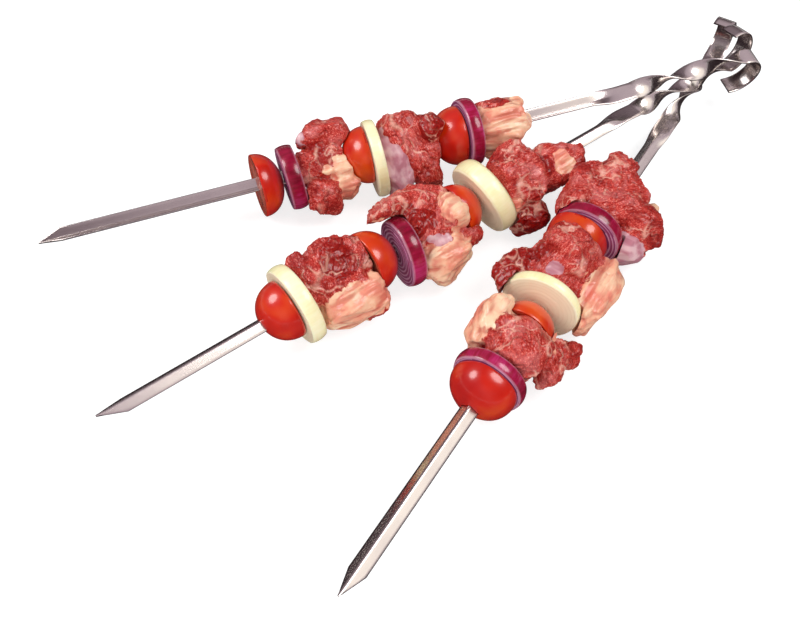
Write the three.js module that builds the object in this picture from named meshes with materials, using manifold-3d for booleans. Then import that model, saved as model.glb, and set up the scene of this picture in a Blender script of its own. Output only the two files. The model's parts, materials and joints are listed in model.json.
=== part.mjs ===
// Three loaded kebab skewers, fanned out, with their handles lying across each other.
// Millimetres, +Z up. The middle skewer runs along +Y, its hook towards +Y.
// Each skewer is one folded steel strip: a V blade with a point, a flat, a full twist and a hook.
// Nine pieces of food are threaded on each blade, listed from the point towards the handle.
import * as THREE from 'three';
import Module from 'manifold-3d';
import { mergeVertices } from 'three/addons/utils/BufferGeometryUtils.js';

const wasm = await Module();
wasm.setup();

// The steel strip
const stripWidth = 12.6;
const stripThickness = 1.2;
const legAngle = THREE.MathUtils.degToRad(40);
const pointLength = 15;
const bladeLength = 355;
const flattenLength = 20;
const flatLength = 11;
const twistLength = 80;
const hookRadius = 14;
const hookSweep = THREE.MathUtils.degToRad(185);
const hookLip = 3;

// How finely the strip is divided
const flattenSteps = 4;
const twistSteps = 24;
const hookSteps = 12;

// Fits
const slitClearance = 0.3;
const seatGap = 0.35;
const tiltedSeatGap = 0.9;
const wrapClearance = 0.6;
const cutOverrun = 40;

// The size that every piece of food is a share of, about half the width of a chunk of meat
const foodWidth = 25;

// How finely the food is divided
const tomatoSides = 20;
const tomatoArcSteps = 6;
const onionSides = 24;
const lobeSides = 12;
const lobeRings = 8;

// How square a lobe of meat is, and the height and closeness of the lumps on it
const lobePower = 2.5;
const lumpShare = 0.07;
const lumpWaves = 4.5;
const lumpPhase = 1.9;

// Colours
const steelLook = { color: 0xb9b2b0, roughness: 0.3, metalness: 1 };
const tomatoLook = { color: 0xc8260f, roughness: 0.2, metalness: 0 };
const redOnionLook = { color: 0x8a1840, roughness: 0.3, metalness: 0 };
const whiteOnionLook = { color: 0xf0e6bd, roughness: 0.4, metalness: 0 };
const meatLook = { color: 0xa83a38, roughness: 0.5, metalness: 0 };

const legLength = stripWidth / 2;
const foldRise = legLength * Math.sin(legAngle) / 2;
const flatStart = bladeLength + flattenLength;
const twistStart = flatStart + flatLength;
const twistEnd = twistStart + twistLength;

// The six corners of the strip's section. x is across the strip and z is up, towards the fold.
function stripSection({ angle, cover = 1, spare = 0 }) {
  const half = stripThickness / 2 + spare;
  const rise = foldRise * Math.sin(angle) / Math.sin(legAngle);
  const reach = legLength * cover + spare;
  const edgeX = reach * Math.cos(angle);
  const edgeZ = rise - reach * Math.sin(angle);
  const offX = half * Math.sin(angle);
  const offZ = half * Math.cos(angle);
  const foldOff = half / Math.cos(angle);
  return [
    [-edgeX - offX, edgeZ + offZ],
    [0, rise + foldOff],
    [edgeX + offX, edgeZ + offZ],
    [edgeX - offX, edgeZ - offZ],
    [0, rise - foldOff],
    [-edgeX + offX, edgeZ - offZ],
  ];
}

// A solid skinned over rings of six points, closed by two quads at each end
function skinRings(rings) {
  const cornerCount = 6;
  const positions = rings.flat().flatMap((p) => [p.x, p.y, p.z]);
  const index = [];
  const quad = (a, b, c, d) => index.push(a, c, b, a, d, c);
  for (let ring = 0; ring < rings.length - 1; ring += 1) {
    for (let k = 0; k < cornerCount; k += 1) {
      const next = (k + 1) % cornerCount;
      const here = ring * cornerCount;
      const there = here + cornerCount;
      quad(here + k, there + k, there + next, here + next);
    }
  }
  const last = (rings.length - 1) * cornerCount;
  quad(0, 1, 4, 5);
  quad(1, 2, 3, 4);
  quad(last + 5, last + 4, last + 1, last);
  quad(last + 4, last + 3, last + 2, last + 1);
  const geometry = new THREE.BufferGeometry();
  geometry.setAttribute('position', new THREE.Float32BufferAttribute(positions, 3));
  geometry.setIndex(index);
  geometry.computeVertexNormals();
  return geometry;
}

// One ring: a section laid out at a place, with its side and up directions
function placeSection(section, place, side, up) {
  return section.map(([x, z]) => place.clone().addScaledVector(side, x).addScaledVector(up, z));
}

const alongAxis = new THREE.Vector3(0, 1, 0);
const sideAxis = new THREE.Vector3(1, 0, 0);
const upAxis = new THREE.Vector3(0, 0, 1);

function bladeRings() {
  const ring = (y, options) =>
    placeSection(stripSection(options), new THREE.Vector3(0, y, 0), sideAxis, upAxis);
  const tipCoverShare = 0.06;
  const rings = [
    ring(0, { angle: legAngle, cover: tipCoverShare }),
    ring(pointLength, { angle: legAngle }),
    ring(bladeLength, { angle: legAngle }),
  ];
  for (let step = 1; step <= flattenSteps; step += 1) {
    const share = step / flattenSteps;
    rings.push(ring(bladeLength + flattenLength * share, { angle: legAngle * (1 - share) }));
  }
  return rings;
}

// The handle is bent a little out of line with the blade, at the start of the flat
function handleFrame(bend) {
  const turn = new THREE.Quaternion().setFromAxisAngle(upAxis, -bend);
  return {
    along: alongAxis.clone().applyQuaternion(turn),
    side: sideAxis.clone().applyQuaternion(turn),
    start: new THREE.Vector3(0, flatStart, 0),
  };
}

function handleRings(bend) {
  const { along, side, start } = handleFrame(bend);
  const flat = stripSection({ angle: 0 });
  const at = (distance) => start.clone().addScaledVector(along, distance - flatStart);
  const rings = [];
  for (let step = 0; step <= twistSteps; step += 1) {
    const share = step / twistSteps;
    const turn = new THREE.Quaternion().setFromAxisAngle(along, 2 * Math.PI * share);
    const place = at(twistStart + twistLength * share);
    rings.push(placeSection(flat, place,
      side.clone().applyQuaternion(turn), upAxis.clone().applyQuaternion(turn)));
  }
  const centre = at(twistEnd).addScaledVector(upAxis, hookRadius);
  for (let step = 1; step <= hookSteps; step += 1) {
    const turn = new THREE.Quaternion().setFromAxisAngle(side, hookSweep * step / hookSteps);
    const up = upAxis.clone().applyQuaternion(turn);
    rings.push(placeSection(flat, centre.clone().addScaledVector(up, -hookRadius), side, up));
  }
  const end = new THREE.Quaternion().setFromAxisAngle(side, hookSweep);
  const lipUp = upAxis.clone().applyQuaternion(end);
  const lipPlace = centre.clone().addScaledVector(lipUp, -hookRadius)
    .addScaledVector(along.clone().applyQuaternion(end), hookLip);
  rings.push(placeSection(flat, lipPlace, side, lipUp));
  return rings;
}

function skewerGeometry(bend) {
  return skinRings([...bladeRings(), ...handleRings(bend)]);
}

// The V slit that a blade leaves in a piece of food
function slitGeometry() {
  const section = stripSection({ angle: legAngle, spare: slitClearance });
  const ringAt = (y) => placeSection(section, new THREE.Vector3(0, y, 0), sideAxis, upAxis);
  return skinRings([ringAt(-cutOverrun), ringAt(bladeLength)]);
}

function toSolid(geometry) {
  const bare = geometry.clone();
  bare.deleteAttribute('normal');
  bare.deleteAttribute('uv');
  const merged = mergeVertices(bare);
  return new wasm.Manifold(new wasm.Mesh({
    numProp: 3,
    vertProperties: new Float32Array(merged.attributes.position.array),
    triVerts: new Uint32Array(merged.index.array),
  }));
}

function toGeometry(solid) {
  const mesh = solid.getMesh();
  const geometry = new THREE.BufferGeometry();
  geometry.setAttribute('position', new THREE.Float32BufferAttribute(mesh.vertProperties, 3));
  geometry.setIndex(Array.from(mesh.triVerts));
  geometry.computeVertexNormals();
  return geometry;
}

// A half tomato: a dome on a flat cut face. Outlines run from the axis out and back to the axis.
function domeOutline({ length, radius }, spare = 0) {
  const points = [];
  for (let step = 0; step <= tomatoArcSteps; step += 1) {
    const angle = Math.PI / 2 * step / tomatoArcSteps;
    const out = (radius + spare) * Math.sin(angle);
    points.push(new THREE.Vector2(out, length - (length + spare) * Math.cos(angle)));
  }
  return points;
}

function tomatoGeometry(piece) {
  const points = [...domeOutline(piece), new THREE.Vector2(0, piece.length)];
  const geometry = new THREE.LatheGeometry(points, tomatoSides);
  if (piece.domeTo === 'handle') {
    geometry.rotateX(Math.PI);
    geometry.translate(0, piece.length, 0);
  }
  return geometry;
}

// An onion slice: a disc with a bowed rim
const rimBowShare = 0.25;

function onionGeometry({ length, radius }) {
  const rimBow = length * rimBowShare;
  const points = [
    new THREE.Vector2(0, 0),
    new THREE.Vector2(radius - rimBow, 0),
    new THREE.Vector2(radius, length / 2),
    new THREE.Vector2(radius - rimBow, length),
    new THREE.Vector2(0, length),
  ];
  return new THREE.LatheGeometry(points, onionSides);
}

// The room that a neighbour needs as it slides away: its own outline, carried on as a cylinder
function wrapPlug(neighbour, awayToHandle) {
  const domed = neighbour.kind === 'tomato' && (neighbour.domeTo === 'handle') !== awayToHandle;
  const wide = neighbour.radius + wrapClearance;
  const points = domed
    ? domeOutline(neighbour, wrapClearance)
    : [new THREE.Vector2(0, -wrapClearance), new THREE.Vector2(wide, -wrapClearance)];
  const far = neighbour.length + cutOverrun;
  points.push(new THREE.Vector2(wide, far), new THREE.Vector2(0, far));
  const geometry = new THREE.LatheGeometry(points, tomatoSides);
  if (!awayToHandle) {
    geometry.rotateX(Math.PI);
    geometry.translate(0, neighbour.length, 0);
  }
  return seatShape(geometry, neighbour);
}

// Tilts a lathed shape about its middle and moves it off the blade's axis
function seatShape(geometry, piece) {
  const { length, asideShare = 0, liftShare = 0, lean = 0, swing = 0 } = piece;
  geometry.translate(0, -length / 2, 0);
  geometry.rotateX(THREE.MathUtils.degToRad(lean));
  geometry.rotateZ(THREE.MathUtils.degToRad(swing));
  geometry.translate(foodWidth * asideShare, length / 2, foodWidth * liftShare);
  return geometry;
}

// Rounds a unit ball's point out towards a cube, with lumps
function lumpyPoint(point, phase) {
  const square = ['x', 'y', 'z']
    .map((axis) => Math.abs(point[axis]) ** lobePower)
    .reduce((sum, part) => sum + part) ** (1 / lobePower);
  const wave = (value, turns) => Math.sin(lumpWaves * value + turns * phase);
  const lump = wave(point.x, 1) * wave(point.y, 2) + wave(point.z, 3);
  return point.multiplyScalar((1 + lumpShare * lump) / square);
}

// One lobe: its centre and half sizes as shares of the girth, in the order along the blade,
// across the picture and out towards the viewer, and its slant in degrees in the picture's plane
function lobeGeometry([along, across, out, halfAlong, halfAcross, halfOut, slant], phase) {
  const lobe = new THREE.SphereGeometry(1, lobeSides, lobeRings);
  lobe.rotateX(Math.PI / 2);
  const places = lobe.attributes.position;
  const point = new THREE.Vector3();
  for (let index = 0; index < places.count; index += 1) {
    lumpyPoint(point.fromBufferAttribute(places, index), phase);
    places.setXYZ(index, point.x, point.y, point.z);
  }
  lobe.scale(foodWidth * halfAcross, foodWidth * halfAlong, foodWidth * halfOut);
  lobe.rotateZ(THREE.MathUtils.degToRad(slant));
  lobe.translate(foodWidth * across, foodWidth * along, foodWidth * out);
  return lobe;
}

// A chunk of meat: a few joined lobes, turned together about the blade to face the viewer
function meatSolid({ length, lobeShares }, meatTurn) {
  const lobes = lobeShares.map((lobeShare, index) => {
    const lobe = lobeGeometry(lobeShare, lumpPhase * (index + 1));
    lobe.rotateY(meatTurn);
    lobe.translate(0, length / 2, 0);
    return toSolid(lobe);
  });
  return lobes.reduce((joined, lobe) => joined.add(lobe));
}

function foodSolid(piece, meatTurn) {
  if (piece.kind === 'meat') return meatSolid(piece, meatTurn);
  const shape = piece.kind === 'tomato' ? tomatoGeometry(piece) : onionGeometry(piece);
  return toSolid(seatShape(shape, piece));
}

// Everything below the table top, seen from a piece's own frame
function tableBlock(frame) {
  const span = bladeLength;
  const block = new THREE.BoxGeometry(span, span, span);
  block.translate(0, 0, -span / 2);
  const ground = frame.clone().invert();
  const origin = new THREE.Vector3().setFromMatrixPosition(frame);
  block.translate(origin.x, origin.y, 0);
  block.applyMatrix4(ground);
  return toSolid(block);
}

// Lengths and radii of food are shares of the girth
const sized = (lengthShare, radiusShare) =>
  ({ length: foodWidth * lengthShare, radius: foodWidth * radiusShare });
const half = (name, lengthShare, radiusShare, domeTo, seat = {}) =>
  ({ name, kind: 'tomato', look: tomatoLook, ...sized(lengthShare, radiusShare), domeTo, ...seat });
const redOnion = (name, lengthShare, radiusShare, seat = {}) =>
  ({ name, kind: 'onion', look: redOnionLook, ...sized(lengthShare, radiusShare), ...seat });
const whiteOnion = (name, lengthShare, radiusShare, seat = {}) =>
  ({ name, kind: 'onion', look: whiteOnionLook, ...sized(lengthShare, radiusShare), ...seat });
const meat = (name, lengthShare, lobeShares) =>
  ({ name, kind: 'meat', look: meatLook, length: foodWidth * lengthShare, lobeShares });

// The three skewers. yaw turns the blade from +Y towards +X, climb is its rise per length, and
// roll turns it about its own axis: the left one lies with its fold down. flatShare is where its
// flat starts, sideways and along, as shares of the twist, heightShare the height there as a
// share of the strip's width, and bareShare the share of the blade left bare behind the food.
const skewers = [
  {
    name: 'left',
    yaw: 21.2, climb: 0.0725, roll: 190, bend: 3, meatTurn: 45,
    flatShare: [-0.1069, 0.0089], heightShare: 2.9854, bareShare: 0.127,
    food: [
      half('tomato_1', 0.64, 0.8, 'handle', { lean: -5, swing: 6 }),
      redOnion('red_onion_1', 0.4, 0.84, { swing: 4 }),
      meat('meat_1', 1.12, [
        [0.02, -0.08, -0.08, 0.68, 0.52, 0.52, 0],
        [0.34, -0.84, -0.08, 0.6, 0.38, 0.44, 0],
        [-0.15, 0.68, 0.24, 0.48, 0.46, 0.44, -20],
        [0.49, 0.32, 0.12, 0.34, 0.6, 0.4, 5],
        [-0.34, -0.84, 0, 0.14, 0.18, 0.24, 0],
      ]),
      half('tomato_2', 0.64, 0.72, 'point', { liftShare: 0.12 }),
      whiteOnion('white_onion_1', 0.28, 0.98, { asideShare: 0.08 }),
      meat('meat_2', 1.36, [
        [0.06, 0.04, -0.08, 0.84, 0.76, 0.68, 0],
        [-0.37, 0.52, 0.12, 0.36, 0.68, 0.52, -18],
        [-0.08, -0.6, 0, 0.6, 0.32, 0.52, 0],
        [0.65, -0.36, 0.52, 0.32, 0.34, 0.32, 0],
        [0.4, 0.72, 0, 0.4, 0.44, 0.48, 0],
      ]),
      half('tomato_3', 0.72, 0.76, 'point', { lean: -5, swing: 3 }),
      redOnion('red_onion_2', 0.34, 0.9, { lean: -5, swing: 3 }),
      meat('meat_3', 1.28, [
        [0.04, 0.08, 0.08, 0.72, 0.54, 0.52, 0],
        [-0.04, -0.48, -0.08, 0.56, 0.22, 0.4, 0],
        [0.5, -0.44, 0, 0.22, 0.2, 0.24, 0],
        [-0.18, 0.46, -0.16, 0.48, 0.32, 0.44, 0],
      ]),
    ],
  },
  {
    name: 'middle',
    yaw: 0, climb: 0.0061, roll: -5, bend: 5, meatTurn: 35,
    flatShare: [0, 0], heightShare: 2.0863, bareShare: 0.103,
    food: [
      half('tomato_1', 0.72, 0.72, 'point', { lean: 4 }),
      whiteOnion('white_onion_1', 0.36, 0.98, { lean: 4 }),
      meat('meat_1', 1.66, [
        [0.04, -0.24, 0, 1, 0.68, 0.68, 0],
        [-0.68, -0.56, 0.24, 0.28, 0.48, 0.4, 0],
        [0.16, 0.6, 0.12, 0.88, 0.5, 0.56, 0],
        [0.55, 0.96, 0.04, 0.3, 0.28, 0.32, 0],
      ]),
      half('tomato_2', 0.76, 0.76, 'handle'),
      redOnion('red_onion_1', 0.38, 0.86, { asideShare: 0.2, liftShare: -0.06, swing: -8 }),
      meat('meat_2', 1.4, [
        [-0.01, -0.16, 0, 0.84, 0.72, 0.68, 0],
        [-0.88, -0.86, 0.24, 0.64, 0.22, 0.4, -8],
        [-0.14, 0.8, 0.12, 0.68, 0.52, 0.52, 8],
        [-0.31, 1.16, 0.04, 0.3, 0.26, 0.28, 0],
        [0.47, -0.08, 0.52, 0.36, 0.48, 0.32, 0],
        [0.62, 0.64, 0.16, 0.46, 0.24, 0.32, 0],
        [-0.16, -0.84, 0.16, 0.48, 0.24, 0.32, 0],
      ]),
      half('tomato_3', 0.7, 0.68, 'handle'),
      whiteOnion('white_onion_2', 0.48, 1, { lean: 15 }),
      meat('meat_3', 2.18, [
        [-0.53, -0.04, 0.24, 0.68, 0.76, 0.6, 0],
        [-0.65, 0.96, 0.04, 0.48, 0.44, 0.44, 0],
        [0.88, 0.28, 0.16, 0.72, 0.48, 0.44, 5],
        [0.39, 0.16, -0.08, 0.72, 0.56, 0.52, 0],
        [-1.07, 0.56, 0.52, 0.22, 0.18, 0.16, 0],
      ]),
    ],
  },
  {
    name: 'right',
    yaw: -20.6, climb: -0.0226, roll: 0, bend: 0, meatTurn: 14,
    flatShare: [0.2437, 0.2605], heightShare: 1.4307, bareShare: 0.1117,
    food: [
      half('tomato_1', 0.68, 0.76, 'point'),
      redOnion('red_onion_1', 0.32, 0.84),
      meat('meat_1', 1.28, [
        [0.03, 0.08, 0.24, 0.64, 0.68, 0.64, 0],
        [0.28, -0.72, 0.16, 0.72, 0.38, 0.52, 0],
        [0.8, 0.04, 0.16, 0.22, 0.6, 0.44, 0],
        [0.36, 0.92, 0.04, 0.56, 0.32, 0.36, 22],
        [0.97, 1.16, -0.08, 0.32, 0.28, 0.28, 0],
      ]),
      half('tomato_2', 0.7, 0.7, 'handle'),
      whiteOnion('white_onion_1', 0.28, 0.94, { liftShare: 0.08, swing: 4 }),
      meat('meat_2', 1.44, [
        [0.02, 0, 0, 0.84, 0.8, 0.68, 0],
        [-0.6, -1.04, 0.08, 0.68, 0.36, 0.4, 0],
        [0.09, 0.84, 0.16, 1.08, 0.48, 0.52, 3],
        [0.43, -0.28, 0.72, 0.52, 0.52, 0.36, 0],
        [0.37, -0.12, 0.4, 0.72, 0.76, 0.52, 0],
      ]),
      half('tomato_3', 0.72, 0.76, 'point', { asideShare: -0.2, liftShare: 0.04 }),
      redOnion('red_onion_2', 0.34, 0.86, { asideShare: -0.04, liftShare: 0.08 }),
      meat('meat_3', 2, [
        [-0.06, 0, 0, 1.08, 0.76, 0.68, 0],
        [-0.42, -0.84, 0.24, 0.96, 0.36, 0.44, 0],
        [0.7, -0.32, 0.24, 0.72, 0.42, 0.44, 0],
        [-0.35, 0.68, 0.32, 0.52, 0.76, 0.48, -15],
        [-0.86, 0.84, 0.04, 0.52, 0.44, 0.48, 0],
        [0.54, 0.84, -0.16, 0.32, 0.36, 0.32, 0],
      ]),
    ],
  },
];

// Each skewer is placed by where its flat starts, so that the handles stay on each other
function skewerFrame({ yaw, climb, roll, meatTurn, flatShare, heightShare }) {
  const group = new THREE.Group();
  group.rotation.order = 'ZXY';
  group.rotation.z = -THREE.MathUtils.degToRad(yaw);
  group.rotation.x = Math.atan(climb);
  const [sidewaysShare, alongShare] = flatShare;
  group.position
    .set(twistLength * sidewaysShare, twistLength * alongShare, stripWidth * heightShare)
    .addScaledVector(alongAxis.clone().applyEuler(group.rotation), -flatStart);
  group.userData.roll = THREE.MathUtils.degToRad(roll);
  group.userData.meatTurn = THREE.MathUtils.degToRad(meatTurn);
  return group;
}

// A cut may leave a crumb beside the body it was cut from, and only the body is kept
function largestBody(solid) {
  return solid.decompose().reduce((most, body) => (body.volume() > most.volume() ? body : most));
}

// Food keeps its own up, so only the slit and the steel turn with the blade's roll
function buildFood(piece, before, after, { group, start }) {
  const frame = new THREE.Matrix4().makeTranslation(0, start, 0).premultiply(group.matrixWorld);
  const slit = slitGeometry();
  slit.rotateY(group.userData.roll);
  let solid = foodSolid(piece, group.userData.meatTurn);
  if (piece.kind === 'meat') {
    const aheadGap = seatOf(before, piece);
    const ahead = wrapPlug(before, false);
    ahead.translate(0, -before.length - aheadGap, 0);
    solid = solid.subtract(toSolid(ahead));
    if (after) {
      const behind = wrapPlug(after, true);
      behind.translate(0, piece.length + seatOf(piece, after), 0);
      solid = solid.subtract(toSolid(behind));
    }
  }
  solid = solid.subtract(toSolid(slit)).subtract(tableBlock(frame));
  return toGeometry(largestBody(solid));
}

// The gap between two pieces on a blade: a leaning slice needs a little more beside a dome
function seatOf(piece, next) {
  const leans = (one) => Boolean(one.lean || one.swing);
  const soft = piece.kind === 'meat' || next.kind === 'meat';
  return !soft && (leans(piece) || leans(next)) ? tiltedSeatGap : seatGap;
}

// Where the first piece starts, so that the last one ends at the bare stretch behind the food
function foodStart({ food, bareShare }) {
  return food.reduce((start, piece, place) => {
    const next = food[place + 1];
    return start - piece.length - (next ? seatOf(piece, next) : 0);
  }, bladeLength * (1 - bareShare));
}

function buildSkewer(spec) {
  const group = skewerFrame(spec);
  group.updateMatrixWorld(true);
  const steel = new THREE.Mesh(
    skewerGeometry(THREE.MathUtils.degToRad(spec.bend)),
    new THREE.MeshStandardMaterial(steelLook),
  );
  steel.name = `${spec.name}_skewer`;
  steel.rotation.y = group.userData.roll;
  group.add(steel);
  let start = foodStart(spec);
  spec.food.forEach((piece, place) => {
    const before = spec.food[place - 1];
    const after = spec.food[place + 1];
    if (before) start += seatOf(before, piece);
    const geometry = buildFood(piece, before, after, { group, start });
    const mesh = new THREE.Mesh(geometry, new THREE.MeshStandardMaterial(piece.look));
    mesh.name = `${spec.name}_${piece.name}`;
    mesh.position.y = start;
    group.add(mesh);
    start += piece.length;
  });
  return group;
}

const assembly = new THREE.Group();
for (const spec of skewers) assembly.add(buildSkewer(spec));

// The origin is at the middle of the set, on the table top
assembly.updateMatrixWorld(true);
const box = new THREE.Box3().setFromObject(assembly, true);
assembly.position.set(-(box.min.x + box.max.x) / 2, -(box.min.y + box.max.y) / 2, 0);
assembly.updateMatrixWorld(true);

export default assembly;
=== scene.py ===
"""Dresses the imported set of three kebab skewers: bright steel, tomato halves, onion slices and raw meat."""
import json
import math

import bmesh
import bpy
import numpy as np
from mathutils import Matrix, Vector, noise

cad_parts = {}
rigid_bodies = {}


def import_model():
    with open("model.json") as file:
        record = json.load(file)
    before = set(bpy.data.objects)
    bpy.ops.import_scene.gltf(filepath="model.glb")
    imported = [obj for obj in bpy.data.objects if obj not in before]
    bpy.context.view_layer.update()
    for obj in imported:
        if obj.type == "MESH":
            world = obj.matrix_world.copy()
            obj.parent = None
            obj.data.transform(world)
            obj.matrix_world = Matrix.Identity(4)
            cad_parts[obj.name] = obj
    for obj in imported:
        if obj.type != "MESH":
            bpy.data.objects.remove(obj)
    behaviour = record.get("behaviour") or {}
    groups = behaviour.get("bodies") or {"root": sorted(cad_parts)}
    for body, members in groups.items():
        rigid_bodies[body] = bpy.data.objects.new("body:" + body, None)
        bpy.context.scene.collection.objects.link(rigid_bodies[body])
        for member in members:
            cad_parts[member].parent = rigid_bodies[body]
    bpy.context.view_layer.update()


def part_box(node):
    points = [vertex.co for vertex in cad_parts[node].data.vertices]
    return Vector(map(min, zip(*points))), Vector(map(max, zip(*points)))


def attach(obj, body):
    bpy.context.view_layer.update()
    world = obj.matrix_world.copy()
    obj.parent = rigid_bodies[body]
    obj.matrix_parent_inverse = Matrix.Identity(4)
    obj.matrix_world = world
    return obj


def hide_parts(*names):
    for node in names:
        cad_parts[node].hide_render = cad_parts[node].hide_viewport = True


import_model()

# One millimetre in Blender's metres. Lengths below are in millimetres.
MM = 0.001

# The steel strip, as the CAD model has it
STRIP_WIDTH = 12.6
STRIP_THICKNESS = 1.2
LEG_ANGLE = math.radians(40)
POINT_LENGTH = 15
BLADE_LENGTH = 355
FLATTEN_LENGTH = 20
FLAT_LENGTH = 11
TWIST_LENGTH = 80
HOOK_RADIUS = 14
HOOK_SWEEP = math.radians(185)
HOOK_LIP = 3
SLIT_CLEARANCE = 0.3
SEAT_GAP = 0.35
TILTED_SEAT_GAP = 0.9
WRAP_CLEARANCE = 0.6
CUT_OVERRUN = 40

LEG_LENGTH = STRIP_WIDTH / 2
FOLD_RISE = LEG_LENGTH * math.sin(LEG_ANGLE) / 2
FLAT_START = BLADE_LENGTH + FLATTEN_LENGTH
TWIST_START = FLAT_START + FLAT_LENGTH
TWIST_END = TWIST_START + TWIST_LENGTH

# The size that every piece of food is a share of
FOOD_WIDTH = 25

# How square a lobe of meat is, and the height and closeness of the lumps on it
LOBE_POWER = 2.5
LUMP_SHARE = 0.07
LUMP_WAVES = 4.5
LUMP_PHASE = 1.9


def sized(name, kind, length_share, **more):
    return dict(name=name, kind=kind, length=FOOD_WIDTH * length_share, **more)


def half(name, length_share, radius_share, dome_to, **seat):
    return sized(name, "tomato", length_share, radius=FOOD_WIDTH * radius_share, dome_to=dome_to, **seat)


def red_onion(name, length_share, radius_share, **seat):
    return sized(name, "red_onion", length_share, radius=FOOD_WIDTH * radius_share, **seat)


def white_onion(name, length_share, radius_share, **seat):
    return sized(name, "white_onion", length_share, radius=FOOD_WIDTH * radius_share, **seat)


def meat(name, length_share, lobe_shares, paint_shares):
    return sized(name, "meat", length_share, lobe_shares=lobe_shares, paint_shares=paint_shares)


# The food, as the CAD model has it, from the point towards the handle. A lobe of meat is its tissue,
# its centre and its half sizes as shares of the food's width, in the order along the blade, across the
# picture and out towards the viewer, and its slant in degrees. Paint is a tissue, a centre and a radius.

LEFT_FOOD = [
    half("tomato_1", 0.64, 0.8, "handle", lean=-5, swing=6),
    red_onion("red_onion_1", 0.4, 0.84, swing=4),
    meat("meat_1", 1.12, [
        ("red", 0.02, -0.08, -0.08, 0.68, 0.52, 0.52, 0),
        ("red", 0.34, -0.84, -0.08, 0.6, 0.38, 0.44, 0),
        ("red", -0.15, 0.68, 0.24, 0.48, 0.46, 0.44, -20),
        ("fat", 0.49, 0.32, 0.12, 0.34, 0.6, 0.4, 5),
        ("silver", -0.34, -0.84, 0, 0.14, 0.18, 0.24, 0),
    ], [
        ("fat", 0.11, 0.04, 0.52, 0.14),
        ("dark", 0.04, -0.52, 0.32, 0.2),
    ]),
    half("tomato_2", 0.64, 0.72, "point", lift_share=0.12),
    white_onion("white_onion_1", 0.28, 0.98, aside_share=0.08),
    meat("meat_2", 1.36, [
        ("red", 0.06, 0.04, -0.08, 0.84, 0.76, 0.68, 0),
        ("silver", -0.37, 0.52, 0.12, 0.36, 0.68, 0.52, -18),
        ("red", -0.08, -0.6, 0, 0.6, 0.32, 0.52, 0),
        ("dark", 0.65, -0.36, 0.52, 0.32, 0.34, 0.32, 0),
        ("red", 0.4, 0.72, 0, 0.4, 0.44, 0.48, 0),
    ], [
        ("silver", -0.64, -0.56, 0.36, 0.16),
        ("silver", -0.6, -0.24, 0.48, 0.2),
        ("silver", -0.5, 0.06, 0.56, 0.28),
        ("silver", -0.42, 0.4, 0.56, 0.34),
    ]),
    half("tomato_3", 0.72, 0.76, "point", lean=-5, swing=3),
    red_onion("red_onion_2", 0.34, 0.9, lean=-5, swing=3),
    meat("meat_3", 1.28, [
        ("fat", 0.04, 0.08, 0.08, 0.72, 0.54, 0.52, 0),
        ("red", -0.04, -0.48, -0.08, 0.56, 0.22, 0.4, 0),
        ("fat", 0.5, -0.44, 0, 0.22, 0.2, 0.24, 0),
        ("fat", -0.18, 0.46, -0.16, 0.48, 0.32, 0.44, 0),
    ], [
        ("dark", -0.3, -0.52, 0.16, 0.16),
    ]),
]

MIDDLE_FOOD = [
    half("tomato_1", 0.72, 0.72, "point", lean=4),
    white_onion("white_onion_1", 0.36, 0.98, lean=4),
    meat("meat_1", 1.66, [
        ("red", 0.04, -0.24, 0, 1, 0.68, 0.68, 0),
        ("red", -0.68, -0.56, 0.24, 0.28, 0.48, 0.4, 0),
        ("fat", 0.16, 0.6, 0.12, 0.88, 0.5, 0.56, 0),
        ("red", 0.55, 0.96, 0.04, 0.3, 0.28, 0.32, 0),
    ], [
        ("dark", 0.1, -0.4, 0.6, 0.46),
    ]),
    half("tomato_2", 0.76, 0.76, "handle"),
    red_onion("red_onion_1", 0.38, 0.86, aside_share=0.2, lift_share=-0.06, swing=-8),
    meat("meat_2", 1.4, [
        ("red", -0.01, -0.16, 0, 0.84, 0.72, 0.68, 0),
        ("red", -0.88, -0.86, 0.24, 0.64, 0.22, 0.4, -8),
        ("fat", -0.14, 0.8, 0.12, 0.68, 0.52, 0.52, 8),
        ("fat", -0.31, 1.16, 0.04, 0.3, 0.26, 0.28, 0),
        ("fat", 0.47, -0.08, 0.52, 0.36, 0.48, 0.32, 0),
        ("red", 0.62, 0.64, 0.16, 0.46, 0.24, 0.32, 0),
        ("red", -0.16, -0.84, 0.16, 0.48, 0.24, 0.32, 0),
    ], [
        ("dark", -0.6, -0.32, 0.6, 0.4),
        ("dark", -0.24, -0.2, 0.68, 0.24),
        ("silver", -0.46, 0.32, 0.68, 0.16),
        ("silver", -0.24, 0.38, 0.68, 0.18),
        ("silver", 0, 0.42, 0.66, 0.12),
        ("fat", -1.3, -0.76, 0.5, 0.1),
        ("fat", -1.1, -0.8, 0.52, 0.1),
        ("red", 0.25, -0.64, 0.48, 0.16),
    ]),
    half("tomato_3", 0.7, 0.68, "handle"),
    white_onion("white_onion_2", 0.48, 1, lean=15, corner=1.7),
    meat("meat_3", 2.18, [
        ("red", -0.53, -0.04, 0.24, 0.68, 0.76, 0.6, 0),
        ("dark", -0.65, 0.96, 0.04, 0.48, 0.44, 0.44, 0),
        ("red", 0.88, 0.28, 0.16, 0.72, 0.48, 0.44, 5),
        ("red", 0.39, 0.16, -0.08, 0.72, 0.56, 0.52, 0),
        ("fat", -1.07, 0.56, 0.52, 0.22, 0.18, 0.16, 0),
    ], [
        ("fat", 0.71, 0.24, 0.56, 0.28),
        ("fat", -0.08, -0.2, 0.5, 0.1),
        ("fat", -0.02, 0.1, 0.5, 0.12),
        ("dark", 0.34, 0.1, 0.32, 0.3),
        ("dark", -0.3, 0.5, 0.4, 0.3),
    ]),
]

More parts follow.
